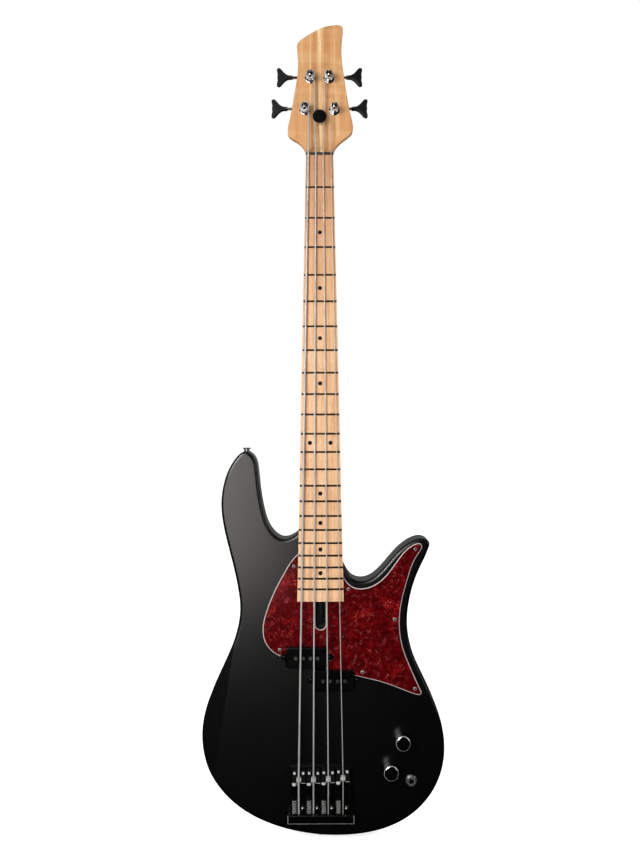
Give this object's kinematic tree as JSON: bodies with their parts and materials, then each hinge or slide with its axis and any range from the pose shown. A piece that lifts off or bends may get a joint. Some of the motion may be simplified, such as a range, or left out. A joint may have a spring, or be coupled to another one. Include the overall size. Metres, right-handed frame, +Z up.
{
  "type": "electric bass guitar",
  "caption": "Solid-body electric bass guitar with a bolt-on maple neck, split pickups, a shell-pattern guard, a bridge with sliding saddles and worm-geared tuning machines.",
  "frame": {"origin": "middle of the waist of the strap button at the tail, on the centre line of the neck", "axes": "+Z up along the neck from tail to headstock, +X to the treble side seen from the front, front faces -Y"},
  "size_m": [0.3359, 0.0678, 1.1595],
  "materials": {
    "black_lacquer": "satin lacquer",
    "maple": "satin",
    "fret_wire": "polished",
    "black_plastic": "satin",
    "shell_plastic": "gloss",
    "chrome": "polished",
    "steel": "satin",
    "black_metal": "gloss",
    "black_gloss": "gloss",
    "foam": "matt",
    "winding": "satin",
    "cable": "matt"
  },
  "bodies": {
    "instrument": {"body": "black_lacquer", "neck": "maple", "fingerboard": "maple", "frets": "fret_wire", "nut": "black_plastic", "inlay_dots": "black_plastic", "truss_rod": "steel", "string_retainer": "chrome", "neck_bolts": "chrome", "neck_ferrules": "chrome", "pickguard": "shell_plastic", "panel_screws": "chrome", "pickup_covers": "black_plastic", "pickup_coils": "winding", "pickup_foam": "foam", "pole_pieces": "steel", "pickup_screws": "chrome", "bridge_plate": "black_metal", "bridge_tail_block": "black_metal", "bridge_screws": "chrome", "intonation_springs": "steel", "strings": "steel", "tuner_plates": "chrome", "tuner_bushings": "chrome", "tuner_screws": "chrome", "strap_button_tail": "chrome", "strap_button_horn": "chrome", "strap_screws": "chrome", "pot_cases": "steel", "control_nuts": "chrome", "output_jack": "chrome", "control_cover": "black_plastic", "tone_capacitor": "black_gloss", "hookup_wires": "cable"},
    "truss_nut": {"truss_rod_nut": "black_metal"},
    "volume_control": {"volume_knob": "chrome", "volume_shaft": "steel"},
    "tone_control": {"tone_knob": "chrome", "tone_shaft": "steel"},
    "saddle_e": {"saddle_e": "chrome"},
    "intonation_e": {"intonation_screw_e": "steel"},
    "key_e": {"tuner_worm_e": "chrome", "tuner_button_e": "black_gloss"},
    "post_e": {"tuner_post_e": "chrome"},
    "saddle_a": {"saddle_a": "chrome"},
    "intonation_a": {"intonation_screw_a": "steel"},
    "key_a": {"tuner_worm_a": "chrome", "tuner_button_a": "black_gloss"},
    "post_a": {"tuner_post_a": "chrome"},
    "saddle_d": {"saddle_d": "chrome"},
    "intonation_d": {"intonation_screw_d": "steel"},
    "key_d": {"tuner_worm_d": "chrome", "tuner_button_d": "black_gloss"},
    "post_d": {"tuner_post_d": "chrome"},
    "saddle_g": {"saddle_g": "chrome"},
    "intonation_g": {"intonation_screw_g": "steel"},
    "key_g": {"tuner_worm_g": "chrome", "tuner_button_g": "black_gloss"},
    "post_g": {"tuner_post_g": "chrome"}
  },
  "joints": [
    {"name": "volume_turn", "type": "hinge", "parent": "instrument", "child": "volume_control", "pos_m": [0.11229, -0.0205, 0.12821], "axis": [0, -1, 0], "range_deg": [-150, 150]},
    {"name": "tone_turn", "type": "hinge", "parent": "instrument", "child": "tone_control", "pos_m": [0.09569, -0.0205, 0.08951], "axis": [0, -1, 0], "range_deg": [-150, 150]},
    {"name": "truss_nut_turn", "type": "hinge", "parent": "instrument", "child": "truss_nut", "pos_m": [0, -0.0184, 0.30018], "axis": [0, 0, 1], "range_deg": [-180, 180]},
    {"name": "key_e_turn", "type": "hinge", "parent": "instrument", "child": "key_e", "pos_m": [-0.0418, -0.0035, 1.03239], "axis": [-1, 0, 0], "continuous": true},
    {"name": "post_e_turn", "type": "hinge", "parent": "instrument", "child": "post_e", "pos_m": [-0.0218, -0.0035, 1.02378], "axis": [0, -1, 0], "continuous": true},
    {"name": "intonation_e_turn", "type": "hinge", "parent": "instrument", "child": "intonation_e", "pos_m": [-0.0362, -0.0287, 0.0427], "axis": [0, 0, -1], "range_deg": [0, 1800]},
    {"name": "saddle_e_slide", "type": "slide", "parent": "instrument", "child": "saddle_e", "axis": [0, 0, 1], "range_m": [0, 0.0025]},
    {"name": "key_a_turn", "type": "hinge", "parent": "instrument", "child": "key_a", "pos_m": [-0.0339, -0.0035, 1.08119], "axis": [-1, 0, 0], "continuous": true},
    {"name": "post_a_turn", "type": "hinge", "parent": "instrument", "child": "post_a", "pos_m": [-0.0139, -0.0035, 1.07258], "axis": [0, -1, 0], "continuous": true},
    {"name": "intonation_a_turn", "type": "hinge", "parent": "instrument", "child": "intonation_a", "pos_m": [-0.0162, -0.0287, 0.0427], "axis": [0, 0, -1], "range_deg": [0, 1800]},
    {"name": "saddle_a_slide", "type": "slide", "parent": "instrument", "child": "saddle_a", "axis": [0, 0, 1], "range_m": [0, 0.0025]},
    {"name": "key_d_turn", "type": "hinge", "parent": "instrument", "child": "key_d", "pos_m": [0.0339, -0.0035, 1.08119], "axis": [1, 0, 0], "continuous": true},
    {"name": "post_d_turn", "type": "hinge", "parent": "instrument", "child": "post_d", "pos_m": [0.0139, -0.0035, 1.07258], "axis": [0, -1, 0], "continuous": true},
    {"name": "intonation_d_turn", "type": "hinge", "parent": "instrument", "child": "intonation_d", "pos_m": [0.0038, -0.0287, 0.0427], "axis": [0, 0, -1], "range_deg": [0, 1800]},
    {"name": "saddle_d_slide", "type": "slide", "parent": "instrument", "child": "saddle_d", "axis": [0, 0, 1], "range_m": [0, 0.0025]},
    {"name": "key_g_turn", "type": "hinge", "parent": "instrument", "child": "key_g", "pos_m": [0.0418, -0.0035, 1.03239], "axis": [1, 0, 0], "continuous": true},
    {"name": "post_g_turn", "type": "hinge", "parent": "instrument", "child": "post_g", "pos_m": [0.0218, -0.0035, 1.02378], "axis": [0, -1, 0], "continuous": true},
    {"name": "intonation_g_turn", "type": "hinge", "parent": "instrument", "child": "intonation_g", "pos_m": [0.0238, -0.0287, 0.0427], "axis": [0, 0, -1], "range_deg": [0, 1800]},
    {"name": "saddle_g_slide", "type": "slide", "parent": "instrument", "child": "saddle_g", "axis": [0, 0, 1], "range_m": [0, 0.0025]}
  ],
  "couplings": [
    {"joint": "post_e_turn", "follows": "key_e_turn", "ratio": 0.05},
    {"joint": "intonation_e_turn", "follows": "saddle_e_slide", "rad_per_m": 12566},
    {"joint": "post_a_turn", "follows": "key_a_turn", "ratio": 0.05},
    {"joint": "intonation_a_turn", "follows": "saddle_a_slide", "rad_per_m": 12566},
    {"joint": "post_d_turn", "follows": "key_d_turn", "ratio": 0.05},
    {"joint": "intonation_d_turn", "follows": "saddle_d_slide", "rad_per_m": 12566},
    {"joint": "post_g_turn", "follows": "key_g_turn", "ratio": 0.05},
    {"joint": "intonation_g_turn", "follows": "saddle_g_slide", "rad_per_m": 12566}
  ]
}
